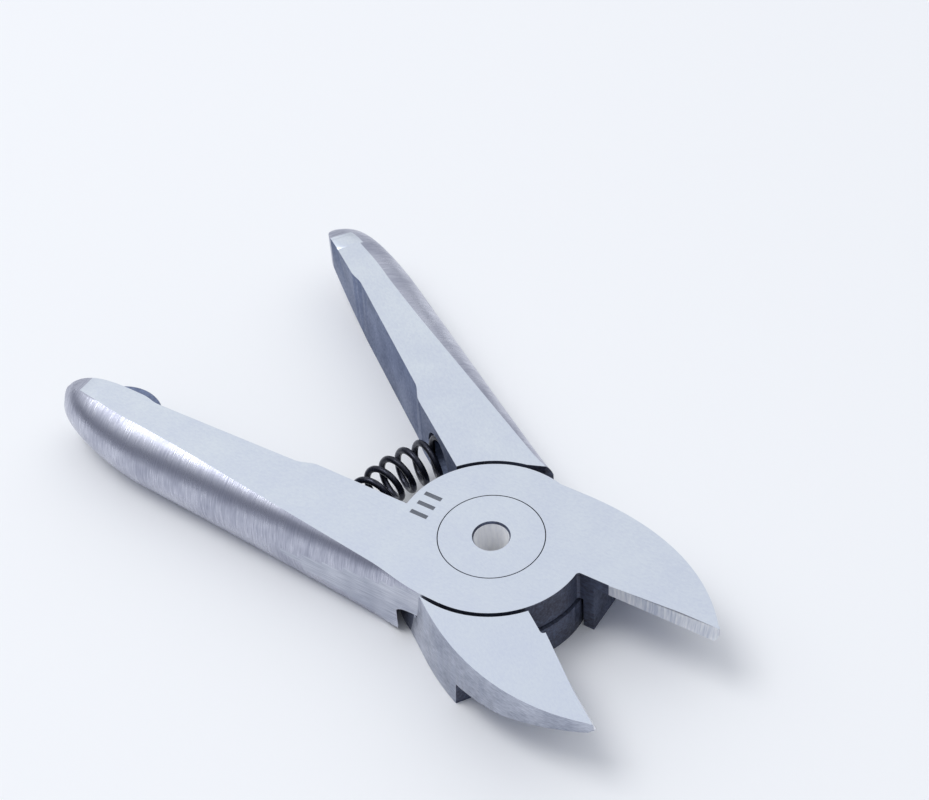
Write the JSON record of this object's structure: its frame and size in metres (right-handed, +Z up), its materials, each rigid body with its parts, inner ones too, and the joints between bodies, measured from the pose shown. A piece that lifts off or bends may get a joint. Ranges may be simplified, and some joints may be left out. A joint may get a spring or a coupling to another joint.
{
  "type": "nipper blade head",
  "caption": "Spring-opened cutting head of a small powered nipper: crossing steel levers with beveled jaws turn on a hollow flush rivet.",
  "frame": {"origin": "middle of the open head's box in x and y, on the surface that it lies on", "axes": "+Z up through the pivot's direction, +Y from the jaws to the handle ends along the line that halves the open angle, +X to lever B's handle"},
  "size_m": [0.0472, 0.0812, 0.0089],
  "materials": {
    "ground_steel": "surface ground, satin",
    "rivet_steel": "ground flush with the levers",
    "spring_wire": "black oxide music wire, slight gloss",
    "oxide_steel": "dark blue-grey oxide, matte"
  },
  "bodies": {
    "body_a": {"lever_a": "ground_steel", "pivot_rivet": "rivet_steel", "stop_pad": "oxide_steel", "return_spring": "spring_wire"},
    "body_b": {"lever_b": "ground_steel"}
  },
  "joints": [
    {"name": "jaw_pivot", "type": "hinge", "parent": "body_a", "child": "body_b", "pos_m": [0, -0.01451, 0.00445], "axis": [0, 0, 1], "range_deg": [0, 35.5], "stiffness_Nm_per_rad": 0.15, "springref_deg": -8.59, "deforming": ["return_spring"]}
  ]
}
